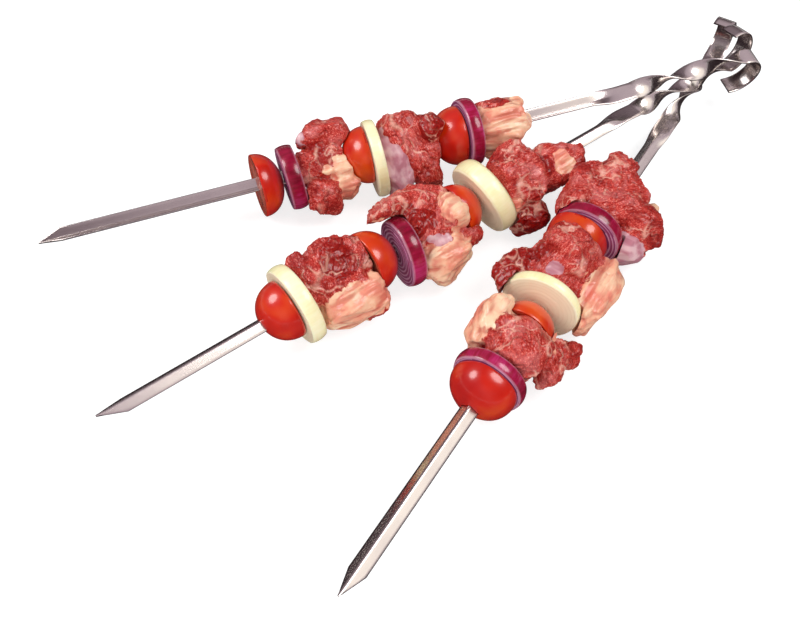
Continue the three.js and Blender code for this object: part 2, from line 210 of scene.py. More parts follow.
RIGHT_FOOD = [
    half("tomato_1", 0.68, 0.76, "point"),
    red_onion("red_onion_1", 0.32, 0.84),
    meat("meat_1", 1.28, [
        ("red", 0.03, 0.08, 0.24, 0.64, 0.68, 0.64, 0),
        ("fat", 0.28, -0.72, 0.16, 0.72, 0.38, 0.52, 0),
        ("fat", 0.8, 0.04, 0.16, 0.22, 0.6, 0.44, 0),
        ("red", 0.36, 0.92, 0.04, 0.56, 0.32, 0.36, 22),
        ("red", 0.97, 1.16, -0.08, 0.32, 0.28, 0.28, 0),
    ], [
        ("fat", 0.45, 0.8, 0.32, 0.12),
        ("dark", 0.48, 0.32, 0.4, 0.12),
    ]),
    half("tomato_2", 0.7, 0.7, "handle"),
    white_onion("white_onion_1", 0.28, 0.94, lift_share=0.08, swing=4, corner=1.3),
    meat("meat_2", 1.44, [
        ("red", 0.02, 0, 0, 0.84, 0.8, 0.68, 0),
        ("dark", -0.6, -1.04, 0.08, 0.68, 0.36, 0.4, 0),
        ("fat", 0.09, 0.84, 0.16, 1.08, 0.48, 0.52, 3),
        ("red", 0.43, -0.28, 0.72, 0.52, 0.52, 0.36, 0),
        ("red", 0.37, -0.12, 0.4, 0.72, 0.76, 0.52, 0),
    ], [
        ("fat", 0.02, 0.36, 0.68, 0.12),
        ("silver", -0.27, -0.2, 0.64, 0.2),
        ("dark", -0.04, -0.72, 0.56, 0.24),
    ]),
    half("tomato_3", 0.72, 0.76, "point", aside_share=-0.2, lift_share=0.04),
    red_onion("red_onion_2", 0.34, 0.86, aside_share=-0.04, lift_share=0.08),
    meat("meat_3", 2, [
        ("red", -0.06, 0, 0, 1.08, 0.76, 0.68, 0),
        ("red", -0.42, -0.84, 0.24, 0.96, 0.36, 0.44, 0),
        ("red", 0.7, -0.32, 0.24, 0.72, 0.42, 0.44, 0),
        ("red", -0.35, 0.68, 0.32, 0.52, 0.76, 0.48, -15),
        ("silver", -0.86, 0.84, 0.04, 0.52, 0.44, 0.48, 0),
        ("fat", 0.54, 0.84, -0.16, 0.32, 0.36, 0.32, 0),
    ], [
        ("fat", -1.35, -0.96, 0.56, 0.12),
        ("dark", -0.95, -0.4, 0.56, 0.24),
    ]),
]

# The three skewers, as the CAD model has them, with angles in degrees and the climb as a slope
SKEWERS = [
    dict(name="left", yaw=21.2, climb=0.0725, roll=190, bend=3, meat_turn=45, food=LEFT_FOOD,
         flat_share=(-0.1069, 0.0089), height_share=2.9854, bare_share=0.127),
    dict(name="middle", yaw=0, climb=0.0061, roll=-5, bend=5, meat_turn=35, food=MIDDLE_FOOD,
         flat_share=(0, 0), height_share=2.0863, bare_share=0.103),
    dict(name="right", yaw=-20.6, climb=-0.0226, roll=0, bend=0, meat_turn=14, food=RIGHT_FOOD,
         flat_share=(0.2437, 0.2605), height_share=1.4307, bare_share=0.1117),
]

# The camera, fitted to the blades in the photograph, and the photograph's frame
CAMERA_PLACE = (281.29, -269.86, 437.0)
CAMERA_AZIMUTH = math.radians(52.985)
CAMERA_PITCH = math.radians(53.4)
FOCAL_PIXELS = 931
IMAGE_WIDTH = 800
SENSOR_WIDTH = 36


def linear(value):
    share = value / 255
    return share / 12.92 if share <= 0.04045 else ((share + 0.055) / 1.055) ** 2.4


def tone(red, green, blue):
    """A colour given from 0 to 255 as a screen shows it, as the linear colour Blender wants"""
    return (linear(red), linear(green), linear(blue), 1)


# Layout

def turned(degrees, axis):
    return Matrix.Rotation(math.radians(degrees), 4, axis)


def blade_turn(spec):
    return turned(-spec["yaw"], "Z") @ Matrix.Rotation(math.atan(spec["climb"]), 4, "X")


def blade_start(spec):
    """Where a blade's point lies, before the set is centred"""
    sideways_share, along_share = spec["flat_share"]
    flat = Vector((TWIST_LENGTH * sideways_share, TWIST_LENGTH * along_share,
                   STRIP_WIDTH * spec["height_share"]))
    return flat - blade_turn(spec).to_3x3() @ Vector((0, FLAT_START, 0))


def set_shift():
    """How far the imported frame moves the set, in metres, from where the middle skewer lies in it"""
    tomato_low, tomato_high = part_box("middle_tomato_1")
    steel_low, steel_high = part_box("middle_skewer")
    start = blade_start(SKEWERS[1]) * MM
    return Vector(((tomato_low[0] + tomato_high[0]) / 2 - start.x, steel_low[1] - start.y, 0))


SET_SHIFT = set_shift()


def skewer_matrix(spec):
    return Matrix.Translation(SET_SHIFT + blade_start(spec) * MM) @ blade_turn(spec)


def seat_matrix(piece):
    """A lathed piece's seat on the blade's axis"""
    aside = piece.get("aside_share", 0) * FOOD_WIDTH * MM
    lift = piece.get("lift_share", 0) * FOOD_WIDTH * MM
    place = Matrix.Translation((aside, 0, lift))
    return place @ turned(piece.get("swing", 0), "Z") @ turned(piece.get("lean", 0), "X")


def gap_between(piece, following):
    soft = piece["kind"] == "meat" or following["kind"] == "meat"
    leans = any(one.get("lean") or one.get("swing") for one in (piece, following))
    return TILTED_SEAT_GAP if leans and not soft else SEAT_GAP


def lay_out(spec):
    """Gives each piece its middle's place along the blade, from the handle back to the point"""
    end = BLADE_LENGTH * (1 - spec["bare_share"])
    following = None
    for piece in reversed(spec["food"]):
        if following:
            end -= gap_between(piece, following)
        piece["middle"] = end - piece["length"] / 2
        end -= piece["length"]
        following = piece


# Mesh helpers

def mesh_object(name, points, faces, matrix=Matrix()):
    """An object from points in millimetres"""
    mesh = bpy.data.meshes.new(name)
    mesh.from_pydata((np.asarray(points, dtype=float) * MM).tolist(), [], faces)
    mesh.validate()
    mesh.shade_smooth()
    made = bpy.data.objects.new(name, mesh)
    bpy.context.scene.collection.objects.link(made)
    made.matrix_world = matrix
    return made


def run_modifier(target, kind, **settings):
    """Puts a modifier to work on an object's mesh and leaves none behind"""
    modifier = target.modifiers.new(kind, kind)
    for key, value in settings.items():
        setattr(modifier, key, value)
    bpy.context.view_layer.update()
    graph = bpy.context.evaluated_depsgraph_get()
    baked = bpy.data.meshes.new_from_object(target.evaluated_get(graph))
    old = target.data
    target.modifiers.clear()
    target.data = baked
    bpy.data.meshes.remove(old)


def cut_away(target, cutters):
    """Cuts each cutter out of a mesh, and removes the cutter"""
    for cutter in cutters:
        run_modifier(target, "BOOLEAN", operation="DIFFERENCE", solver="MANIFOLD", object=cutter)
        mesh = cutter.data
        bpy.data.objects.remove(cutter)
        bpy.data.meshes.remove(mesh)


def voxel_remesh(target, voxel):
    run_modifier(target, "REMESH", mode="VOXEL", voxel_size=voxel * MM, use_smooth_shade=True)


def coordinates(target):
    """The mesh's points in millimetres, in the object's own frame"""
    flat = np.empty(len(target.data.vertices) * 3)
    target.data.vertices.foreach_get("co", flat)
    return flat.reshape(-1, 3) / MM


def set_coordinates(target, points):
    target.data.vertices.foreach_set("co", (points * MM).ravel())
    target.data.update()


def normals(target):
    flat = np.empty(len(target.data.vertices) * 3, dtype=np.float32)
    target.data.vertex_normals.foreach_get("vector", flat)
    return flat.reshape(-1, 3)


def keep_numbers(target, name, values):
    """Keeps a number for each point in the mesh, for the materials"""
    attribute = target.data.attributes.new(name, "FLOAT", "POINT")
    attribute.data.foreach_set("value", np.asarray(values, dtype=np.float32))


def keep_places(target, name, points):
    """Keeps a place in metres for each point, from places in millimetres"""
    attribute = target.data.attributes.new(name, "FLOAT_VECTOR", "POINT")
    attribute.data.foreach_set("vector", (points * MM).astype(np.float32).ravel())


def skin_rings(rings, closed_ends=True):
    """Points and faces of a tube skinned over rings with the same number of points"""
    size = len(rings[0])
    faces = []
    for here in range(0, (len(rings) - 1) * size, size):
        there = here + size
        for k in range(size):
            following = (k + 1) % size
            faces.append((here + k, here + following, there + following, there + k))
    if closed_ends:
        last = (len(rings) - 1) * size
        faces.append(tuple(reversed(range(size))))
        faces.append(tuple(range(last, last + size)))
    return [point for ring in rings for point in ring], faces


def lathe(outline, sides, shape=lambda radius, angle, along: (radius, along)):
    """Turns an outline of (radius, along) about the Y axis. It starts and ends on the axis.
    shape may move a point, given its radius, angle and place along."""
    points = [(0, outline[0][1], 0)]
    for radius, along in outline[1:-1]:
        for side in range(sides):
            angle = 2 * math.pi * side / sides
            r, y = shape(radius, angle, along)
            points.append((r * math.cos(angle), y, r * math.sin(angle)))
    points.append((0, outline[-1][1], 0))
    last = 1 + (len(outline) - 3) * sides
    faces = []
    for here in range(1, last, sides):
        there = here + sides
        for side in range(sides):
            following = (side + 1) % sides
            faces.append((here + side, there + side, there + following, here + following))
    for side in range(sides):
        following = (side + 1) % sides
        faces.append((0, 1 + side, 1 + following))
        faces.append((len(points) - 1, last + following, last + side))
    return points, faces


def give_looks(target, looks, on_face=None):
    """Gives a mesh its materials, the second one where on_face holds for a face's radius and place along"""
    target.data.materials.clear()
    for look in looks:
        target.data.materials.append(look)
    if on_face:
        for polygon in target.data.polygons:
            x, y, z = polygon.center / MM
            polygon.material_index = int(on_face(math.hypot(x, z), y))


def finish_piece(made, body, sharp_from):
    """Marks the sharp edges, moves the object's place into its mesh, and ties it to its body"""
    made.data.set_sharp_from_angle(angle=math.radians(sharp_from))
    keep_places(made, "place", coordinates(made))
    made.data.transform(made.matrix_world)
    made.matrix_world = Matrix()
    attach(made, body)
    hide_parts(body)


# Material helpers

def new_material(name):
    material = bpy.data.materials.new(name)
    material.use_nodes = True
    material.node_tree.nodes.clear()
    return material, material.node_tree


def node(tree, kind, sockets, **settings):
    made = tree.nodes.new(kind)
    for key, value in settings.items():
        setattr(made, key, value)
    for key, value in sockets.items():
        if isinstance(value, bpy.types.NodeSocket):
            tree.links.new(value, made.inputs[key])
        else:
            made.inputs[key].default_value = value
    return made


def maths(tree, operation, first, second, third=0.0):
    return node(tree, "ShaderNodeMath", {0: first, 1: second, 2: third}, operation=operation).outputs[0]


def weighted(tree, *parts):
    """The sum of values, each times its weight"""
    total = 0.0
    for value, weight in parts:
        total = maths(tree, "MULTIPLY_ADD", value, weight, total)
    return total


def mix(tree, share, first, second):
    return node(tree, "ShaderNodeMix", {0: share, 6: first, 7: second}, data_type="RGBA").outputs[2]


def ramp(tree, value, *stops):
    """A colour ramp from (place, colour) pairs"""
    made = node(tree, "ShaderNodeValToRGB", {0: value})
    elements = made.color_ramp.elements
    while len(elements) < len(stops):
        elements.new(0.5)
    for element, (place, colour) in zip(elements, stops):
        element.position = place
        element.color = colour
    return made.outputs[0]


def grey(value):
    return (value, value, value, 1)


def kept(tree, name, output="Fac"):
    """What the mesh keeps under a name"""
    return node(tree, "ShaderNodeAttribute", {}, attribute_name=name).outputs[output]


def stretched(tree, place, stretch):
    return node(tree, "ShaderNodeMapping", {"Vector": place, "Scale": stretch}).outputs[0]


def own_place(tree):
    """The piece's own coordinates"""
    return kept(tree, "place", "Vector")


# How far apart in the noise two pieces may lie
PIECE_SPREAD = 40.0


def speckle(tree, place, scale, detail, roughness=0.55, seed=0.0):
    """Soft noise that differs from piece to piece"""
    random = node(tree, "ShaderNodeObjectInfo", {}).outputs["Random"]
    return node(tree, "ShaderNodeTexNoise", {
        "Vector": place, "W": maths(tree, "MULTIPLY_ADD", random, PIECE_SPREAD, seed),
        "Scale": scale, "Detail": detail, "Roughness": roughness,
    }, noise_dimensions="4D").outputs[0]


def tinted(tree, colour, name, strength, over):
    """A colour with another over it, as far as a number kept in the mesh says"""
    return mix(tree, maths(tree, "MULTIPLY", kept(tree, name), strength), colour, over)


def show(tree, surface):
    node(tree, "ShaderNodeOutputMaterial", {"Surface": surface.outputs[0]})


def shader(tree, **sockets):
    """The surface's shader, its sockets named with _ for a space"""
    named = {key.replace("_", " "): value for key, value in sockets.items()}
    show(tree, node(tree, "ShaderNodeBsdfPrincipled", named))


def bump(tree, height, distance, strength):
    return node(tree, "ShaderNodeBump", {
        "Height": height, "Distance": distance * MM, "Strength": strength,
    }).outputs[0]


# Materials

# How the rolling lines are drawn out along the strip and drawn together across it
ROLLING_STRETCH = (14, 2600, 1)

# The same for the onion's streaks and the fat's pleats, which run along the blade, and silverskin's sheen
STREAK_STRETCH = (1, 0.12, 1)
PLEAT_STRETCH = (1, 0.2, 1)
SHEEN_STRETCH = (0.3, 1, 1)


def steel_material():
    material, tree = new_material("brushed_steel")
    strip = node(tree, "ShaderNodeTexCoord", {}).outputs["UV"]
    lines = speckle(tree, stretched(tree, strip, ROLLING_STRETCH), 1.0, 3.0)
    smudge = speckle(tree, own_place(tree), 45, 3.0)
    shader(tree, Base_Color=ramp(tree, smudge, (0.3, tone(212, 203, 200)), (0.7, tone(228, 220, 214))),
           Metallic=1.0, Roughness=maths(tree, "MULTIPLY_ADD", lines, 0.12, 0.19),
           Normal=bump(tree, lines, 0.003, 0.5))
    return material


def tomato_skin():
    material, tree = new_material("tomato_skin")
    broad = speckle(tree, own_place(tree), 45, 2.0)
    fine = speckle(tree, own_place(tree), 1100, 2.0)
    colour = ramp(tree, broad, (0.3, tone(180, 8, 0)), (0.5, tone(202, 26, 0)), (0.74, tone(224, 80, 8)))
    shader(tree, Base_Color=colour, Roughness=0.32, Specular_IOR_Level=0.5, Coat_Weight=0.9,
           Coat_Roughness=0.14, Subsurface_Weight=0.1, Subsurface_Radius=(1, 0.2, 0.08),
           Subsurface_Scale=0.003, Normal=bump(tree, fine, 0.02, 0.25))
    return material


def tomato_flesh():
    """Pale walls that redden towards the skin, and darker gel in the seed chambers"""
    material, tree = new_material("tomato_flesh")
    broad = speckle(tree, own_place(tree), 260, 3.0)
    walls = ramp(tree, kept(tree, "out"), (0.0, tone(190, 118, 104)), (0.55, tone(184, 92, 76)),
                 (0.9, tone(192, 70, 46)), (0.97, tone(186, 26, 10)))
    gel = ramp(tree, broad, (0.4, tone(112, 40, 34)), (0.62, tone(176, 100, 70)))
    shader(tree, Base_Color=mix(tree, kept(tree, "cavity"), walls, gel), Roughness=0.25,
           Coat_Weight=0.25, Subsurface_Weight=0.15, Subsurface_Radius=(1, 0.3, 0.2),
           Subsurface_Scale=0.002, Normal=bump(tree, broad, 0.3, 0.5))
    return material


def onion_rim(name, stops, edge_colour, edge_share, coat):
    """The outer skin, with streaks that run across its width, and a pale line at each edge"""
    material, tree = new_material(name)
    streaks = speckle(tree, stretched(tree, own_place(tree), STREAK_STRETCH), 520, 3.0, 0.6)
    broad = speckle(tree, own_place(tree), 60, 2.0)
    colour = ramp(tree, weighted(tree, (streaks, 0.4), (broad, 0.6)), *stops)
    shader(tree, Base_Color=tinted(tree, colour, "edge", edge_share, edge_colour), Roughness=0.26,
           Coat_Weight=coat, Coat_Roughness=0.1, Subsurface_Weight=0.1,
           Subsurface_Radius=(1, 0.4, 0.5), Subsurface_Scale=0.003,
           Normal=bump(tree, streaks, 0.08, 0.4))
    return material


def onion_face(name, stops, pale):
    """The cut face, coloured by how far through its layer a place is"""
    material, tree = new_material(name)
    streaks = speckle(tree, own_place(tree), 300, 3.0)
    colour = ramp(tree, kept(tree, "layer"), *stops)
    colour = mix(tree, maths(tree, "MULTIPLY", streaks, pale), colour, stops[len(stops) // 2][1])
    shader(tree, Base_Color=colour, Roughness=0.34, Coat_Weight=0.15, Subsurface_Weight=0.15,
           Subsurface_Radius=(1, 0.7, 0.7), Subsurface_Scale=0.003,
           Normal=bump(tree, streaks, 0.08, 0.3))
    return material


def onion_materials():
    red_rim = ((0.36, tone(112, 2, 30)), (0.5, tone(152, 10, 52)), (0.64, tone(190, 44, 104)))
    red_face = ((0.0, tone(104, 14, 60)), (0.12, tone(214, 170, 196)), (0.34, tone(202, 150, 182)),
                (0.5, tone(138, 48, 100)), (1.0, tone(122, 30, 82)))
    white_rim = ((0.36, tone(242, 228, 172)), (0.5, tone(248, 238, 190)), (0.64, tone(252, 244, 208)))
    white_face = ((0.0, tone(232, 212, 172)), (0.14, tone(244, 228, 194)), (0.4, tone(250, 236, 204)),
                  (0.85, tone(250, 236, 204)), (1.0, tone(236, 218, 178)))
    return {
        "red_onion": [onion_rim("red_onion_rim", red_rim, tone(214, 168, 190), 0.8, 0.6),
                      onion_face("red_onion_face", red_face, 0.15)],
        "white_onion": [onion_rim("white_onion_rim", white_rim, tone(248, 242, 210), 0.5, 0.2),
                        onion_face("white_onion_face", white_face, 0.5)],
    }


def muscle_colours(tree, grain_and_glints, broad):
    """Muscle with darker and paler patches and painted pale glints in its grain, and dark muscle"""
    # The palest stops of both ramps paint pale glints: partly paler fibres, partly painted highlight
    muscle = ramp(tree, grain_and_glints, (0.41, tone(140, 12, 10)), (0.47, tone(178, 34, 26)),
                  (0.52, tone(200, 60, 50)), (0.57, tone(222, 108, 96)), (0.63, tone(248, 192, 178)))
    dark = ramp(tree, grain_and_glints, (0.41, tone(118, 3, 2)), (0.5, tone(146, 10, 6)),
                (0.58, tone(176, 30, 20)), (0.65, tone(216, 92, 74)))
    muscle = mix(tree, ramp(tree, broad, (0.49, grey(0)), (0.6, grey(0.75))), muscle, dark)
    veil = ramp(tree, broad, (0.36, grey(0.35)), (0.45, grey(0)))
    return mix(tree, veil, muscle, tone(216, 128, 126)), dark


def fat_colour(tree, place, broad):
    pleats = speckle(tree, stretched(tree, place, PLEAT_STRETCH), 420, 3.0, 0.6, 9.0)
    fat = ramp(tree, broad, (0.36, tone(230, 138, 116)), (0.48, tone(240, 178, 146)),
               (0.62, tone(246, 208, 174)))
    return mix(tree, ramp(tree, pleats, (0.53, grey(0)), (0.66, grey(0.55))), fat, tone(216, 104, 88))


def silver_colour(tree, place):
    sheen = speckle(tree, stretched(tree, place, SHEEN_STRETCH), 220, 2.0, 0.5, 11.0)
    return ramp(tree, sheen, (0.38, tone(186, 118, 132)), (0.5, tone(204, 148, 158)),
                (0.62, tone(220, 178, 182)))


def meat_material():
    """Muscle, darker muscle, fat and silverskin, blended by the tissue shares in the mesh"""
    material, tree = new_material("raw_meat")
    place = own_place(tree)
    fibres = kept(tree, "fibre", "Vector")
    strands = speckle(tree, fibres, 600, 3.0, 0.6, 3.0)
    # The fine grain drives the bump and, through the ramps' palest stops, the painted glints
    grain_and_glints = weighted(tree, (speckle(tree, fibres, 1500, 3.0, 0.65), 0.45), (strands, 0.2),
                     (speckle(tree, place, 1900, 2.0, 0.6, 5.0), 0.35))
    broad = speckle(tree, place, 75, 3.0, 0.55, 7.0)
    ragged = maths(tree, "MULTIPLY_ADD", strands, 0.9, -0.45)

    def share(name):
        """A tissue's share, with an edge that follows the strands"""
        value = maths(tree, "ADD", kept(tree, name), ragged)
        return ramp(tree, value, (0.42, grey(0)), (0.58, grey(1)))

    muscle, dark = muscle_colours(tree, grain_and_glints, broad)
    colour = mix(tree, share("dark"), muscle, dark)
    colour = mix(tree, share("fat"), colour, fat_colour(tree, place, broad))
    colour = mix(tree, share("silver"), colour, silver_colour(tree, place))
    colour = tinted(tree, colour, "seam", 0.8, tone(240, 184, 164))
    # Painted shade: the muscle's creases are darkened in the colour
    colour = tinted(tree, colour, "hollow", 0.5, tone(126, 10, 8))
    colour = tinted(tree, colour, "pleat", 0.7, tone(206, 96, 80))
    smooth = maths(tree, "MAXIMUM", kept(tree, "fat"), kept(tree, "silver"))
    smooth = maths(tree, "MAXIMUM", smooth, maths(tree, "MULTIPLY", kept(tree, "dark"), 0.75))
    height = maths(tree, "MULTIPLY", grain_and_glints, maths(tree, "SUBTRACT", 1.15, smooth))
    shader(tree, Base_Color=colour, Roughness=0.34, Specular_IOR_Level=0.4, Coat_Weight=0.35,
           Coat_Roughness=0.12, Subsurface_Weight=0.1, Subsurface_Radius=(1, 0.3, 0.2),
           Subsurface_Scale=0.0015, Normal=bump(tree, height, 0.5, 0.9))
    return material


def make_materials():
    """The materials of each kind of piece, the outer one first"""
    return {
        "steel": [steel_material()],
        "tomato": [tomato_skin(), tomato_flesh()],
        **onion_materials(),
        "meat": [meat_material()],
    }


# The steel strip

# The radius of the strip's fold, which takes up at most this share of a leg
FOLD_RADIUS = 0.9
FOLD_LEG_SHARE = 0.5

# The strip's round edges: how far they bulge and where they start, as shares of half the thickness
EDGE_BULGE_SHARE = 0.6
EDGE_START_SHARE = 0.6

# How finely the strip is divided
EDGE_STEPS = 4
FOLD_STEPS = 4
LEG_STEPS = 3
TIP_STEPS = 3
BLADE_STEP = 6
FLATTEN_STEPS = 10
TWIST_STEPS = 64
HOOK_STEPS = 36
TIP_COVER_SHARE = 0.06
STEEL_SHARP = 50


def leg_runs(reach, bend, half_thick):
    """Distances along a leg from the fold, closer together where the fold is round"""
    last = reach - half_thick * EDGE_START_SHARE
    runs = [bend * k / FOLD_STEPS for k in range(FOLD_STEPS)]
    return runs + [bend + (last - bend) * k / LEG_STEPS for k in range(LEG_STEPS + 1)]


def strip_section(angle, cover=1.0, spare=0.0):
    """The section's closed outline, (across, up), with a round fold and round edges"""
    half_thick = STRIP_THICKNESS / 2 + spare
    rise = FOLD_RISE * math.sin(angle) / math.sin(LEG_ANGLE)
    reach = LEG_LENGTH * cover + spare
    bend = min(FOLD_RADIUS, reach * FOLD_LEG_SHARE)
    runs = leg_runs(reach, bend, half_thick)
    upper, lower = [], []
    for side in (-1, 1):
        for run in (reversed(runs) if side < 0 else runs[1:]):
            slope = angle if run >= bend else angle * run / bend
            fall = run if run >= bend else (bend + run * run / bend) / 2
            point = Vector((side * run * math.cos(angle), rise - fall * math.sin(angle)))
            normal = Vector((side * math.sin(slope), math.cos(slope)))
            upper.append(point + normal * half_thick)
            lower.append(point - normal * half_thick)
    right_edge = round_edge(upper[-1], lower[-1])
    left_edge = round_edge(lower[0], upper[0])
    return upper + right_edge + list(reversed(lower)) + left_edge


def round_edge(start, end):
    """Points of a flattened half circle from start to end, bulging to the left of that line"""
    middle = (start + end) / 2
    arm = start - middle
    out = Vector((-arm.y, arm.x)) * -EDGE_BULGE_SHARE
    turns = [math.pi * k / EDGE_STEPS for k in range(1, EDGE_STEPS)]
    return [middle + arm * math.cos(turn) + out * math.sin(turn) for turn in turns]


def blade_stations(add, side, along, up):
    """The point, the V blade and the stretch where the V opens to a flat"""
    for k in range(TIP_STEPS + 1):
        share = k / TIP_STEPS
        run = POINT_LENGTH * share
        add(run, along * run, side, up, LEG_ANGLE, TIP_COVER_SHARE + (1 - TIP_COVER_SHARE) * share)
    steps = round((BLADE_LENGTH - POINT_LENGTH) / BLADE_STEP)
    for k in range(1, steps + 1):
        run = POINT_LENGTH + (BLADE_LENGTH - POINT_LENGTH) * k / steps
        add(run, along * run, side, up, LEG_ANGLE)
    for k in range(1, FLATTEN_STEPS + 1):
        share = k / FLATTEN_STEPS
        run = BLADE_LENGTH + FLATTEN_LENGTH * share
        add(run, along * run, side, up, LEG_ANGLE * (1 - share * share * (3 - 2 * share)))


def handle_stations(add, side, along, up, start):
    """The twist, the hook and its lip"""
    for k in range(TWIST_STEPS + 1):
        spin = Matrix.Rotation(2 * math.pi * k / TWIST_STEPS, 3, along)
        run = TWIST_START + TWIST_LENGTH * k / TWIST_STEPS
        add(run, start + along * (run - FLAT_START), spin @ side, spin @ up)
    centre = start + along * (TWIST_END - FLAT_START) + up * HOOK_RADIUS
    for k in range(1, HOOK_STEPS + 1):
        turn = HOOK_SWEEP * k / HOOK_STEPS
        spin = Matrix.Rotation(turn, 3, side)
        run = TWIST_END + HOOK_RADIUS * turn
        place = centre - spin @ up * HOOK_RADIUS
        add(run, place, side, spin @ up)
    add(run + HOOK_LIP, place + spin @ along * HOOK_LIP, side, spin @ up)


def strip_stations(bend):
    """Where each section goes: its run, place, side and up directions, fold angle and cover"""
    side, along, up = Vector((1, 0, 0)), Vector((0, 1, 0)), Vector((0, 0, 1))
    stations = []

    def add(run, place, side, up, angle=0.0, cover=1.0):
        stations.append((run, place, side, up, angle, cover))

    blade_stations(add, side, along, up)
    turn = Matrix.Rotation(-math.radians(bend), 3, "Z")
    handle_stations(add, turn @ side, turn @ along, up, along * FLAT_START)
    return stations


def build_skewer(spec, looks):
    rings, runs, widths = [], [], []
    for run, place, side, up, angle, cover in strip_stations(spec["bend"]):
        section = strip_section(angle, cover)
        rings.append([place + side * x + up * z for x, z in section])
        runs += [run] * len(section)
        widths += [x for x, z in section]
    name = f"{spec['name']}_steel"
    steel = mesh_object(name, *skin_rings(rings), skewer_matrix(spec) @ turned(spec["roll"], "Y"))
    strip = steel.data.uv_layers.new(name="strip")
    for loop in steel.data.loops:
        strip.data[loop.index].uv = (runs[loop.vertex_index] * MM, widths[loop.vertex_index] * MM)
    give_looks(steel, looks["steel"])
    finish_piece(steel, f"{spec['name']}_skewer", STEEL_SHARP)


def slit_cutter(spec, piece):
    """The V slit that the blade leaves, in the piece's own frame"""
    reach = CUT_OVERRUN + piece["length"]
    section = strip_section(LEG_ANGLE, spare=SLIT_CLEARANCE)
    rings = [[Vector((x, y, z)) for x, z in section] for y in (-reach, reach)]
    return mesh_object("slit", *skin_rings(rings), piece["matrix"] @ turned(spec["roll"], "Y"))


def look_name(piece):
    return f"{piece['node']}_look"


def lathed_piece(spec, piece, outline, sides, shape, flip=Matrix()):
    """A lathed piece with the blade's slit"""
    matrix = piece["matrix"] @ seat_matrix(piece) @ flip
    made = mesh_object(look_name(piece), *lathe(outline, sides, shape), matrix)
    cut_away(made, [slit_cutter(spec, piece)])
    return made


def out_of_round(angle, *waves):
    """How much of its radius a piece has at an angle, less waves of (count, phase, depth share)"""
    radius_share = 1
    for count, phase, depth_share in waves:
        radius_share -= depth_share * (1 + math.cos(count * angle + phase))
    return radius_share


# Tomato halves

TOMATO_SIDES = 96
TOMATO_ARC_STEPS = 28
FACE_RINGS = 22
TOMATO_SHARP = 48
SKIN_EDGE_SHARE = 0.96
DOME_POWER = 2.12

# How far the skin rolls over the cut edge, and its outline there: how far out, and how far below the face
SKIN_ROLL = 0.5
SKIN_ROLL_SHARES = ((0.992, 0.3), (0.978, 0))

# How deep the waves are that keep a tomato or an onion from being round
WAVE_SHARE = 0.012
TOMATO_OVAL_SHARE = 0.008

# The depth of the seed chambers, where their ring lies on the face and how wide it is, and how steeply
# and from where they rise in the wave round that ring
CAVITY_DEPTH = 1.1
CAVITY_RING_SHARE = 0.6
CAVITY_WIDTH_SHARE = 0.17
CAVITY_RISE = 1.7
CAVITY_START = 0.35

# The fewest chambers, how many numbers of them there are, and their turn for each step of the seed
FEWEST_CHAMBERS = 3
CHAMBER_CHOICES = 3
CHAMBER_TURN = 1.7

# What belongs to a cut face: how far out, as a share of its radius, and how deep
FACE_SHARE = 0.97
FACE_DEPTH = 0.001
FACE_LOOK_SHARE = 0.965
FACE_LOOK_DEPTH = 1.6


def dome_outline(length, radius, steps, spare=0.0):
    """A dome from its top, at -length / 2, to its rim at +length / 2, as (radius, along)"""
    points = []
    for step in range(steps + 1):
        angle = math.pi / 2 * step / steps
        out = (radius + spare) * math.sin(angle) ** (2 / DOME_POWER)
        points.append((out, length / 2 - (length + spare) * math.cos(angle) ** (2 / DOME_POWER)))
    return points


def tomato_outline(length, radius):
    """The dome, the skin rolled over its edge and the cut face, ending at the face's middle"""
    outline = dome_outline(length - SKIN_ROLL, radius, TOMATO_ARC_STEPS)
    outline = [(out, along - SKIN_ROLL / 2) for out, along in outline]
    for out_share, fall_share in SKIN_ROLL_SHARES:
        outline.append((radius * out_share, length / 2 - SKIN_ROLL * fall_share))
    for ring in range(FACE_RINGS):
        out_share = SKIN_EDGE_SHARE * (1 - ring / FACE_RINGS)
        outline.append((radius * out_share, length / 2))
    return outline + [(0, length / 2)]


def seed_cavity(radius_share, angle, lobes, phase):
    """How much of a seed chamber there is at a place on the cut face, 0 to 1"""
    ring = math.exp(-((radius_share - CAVITY_RING_SHARE) / CAVITY_WIDTH_SHARE) ** 2)
    wave = 0.5 + 0.5 * math.cos(lobes * angle + phase)
    return ring * min(1, max(0, wave * CAVITY_RISE - CAVITY_START))


def build_tomato(spec, piece, looks, seed):
    length, radius = piece["length"], piece["radius"]
    lobes = FEWEST_CHAMBERS + seed % CHAMBER_CHOICES
    phase = seed * CHAMBER_TURN

    def shape(r, angle, along):
        if along > length / 2 - FACE_DEPTH and r < radius * FACE_SHARE:
            along -= CAVITY_DEPTH * seed_cavity(r / radius, angle, lobes, phase)
        return r * out_of_round(angle, (lobes, phase, WAVE_SHARE), (2, seed, TOMATO_OVAL_SHARE)), along

    flip = turned(180, "X") if piece["dome_to"] == "handle" else Matrix()
    made = lathed_piece(spec, piece, tomato_outline(length, radius), TOMATO_SIDES, shape, flip)
    x, y, z = coordinates(made).T
    out = np.hypot(x, z) / radius
    keep_numbers(made, "out", out)
    keep_numbers(made, "cavity", [seed_cavity(r, a, lobes, phase) for r, a in zip(out, np.arctan2(z, x))])

    def on_face(r, along):
        return along > length / 2 - FACE_LOOK_DEPTH and r < radius * FACE_LOOK_SHARE

    give_looks(made, looks["tomato"], on_face)
    finish_piece(made, piece["node"], TOMATO_SHARP)


# Onion slices

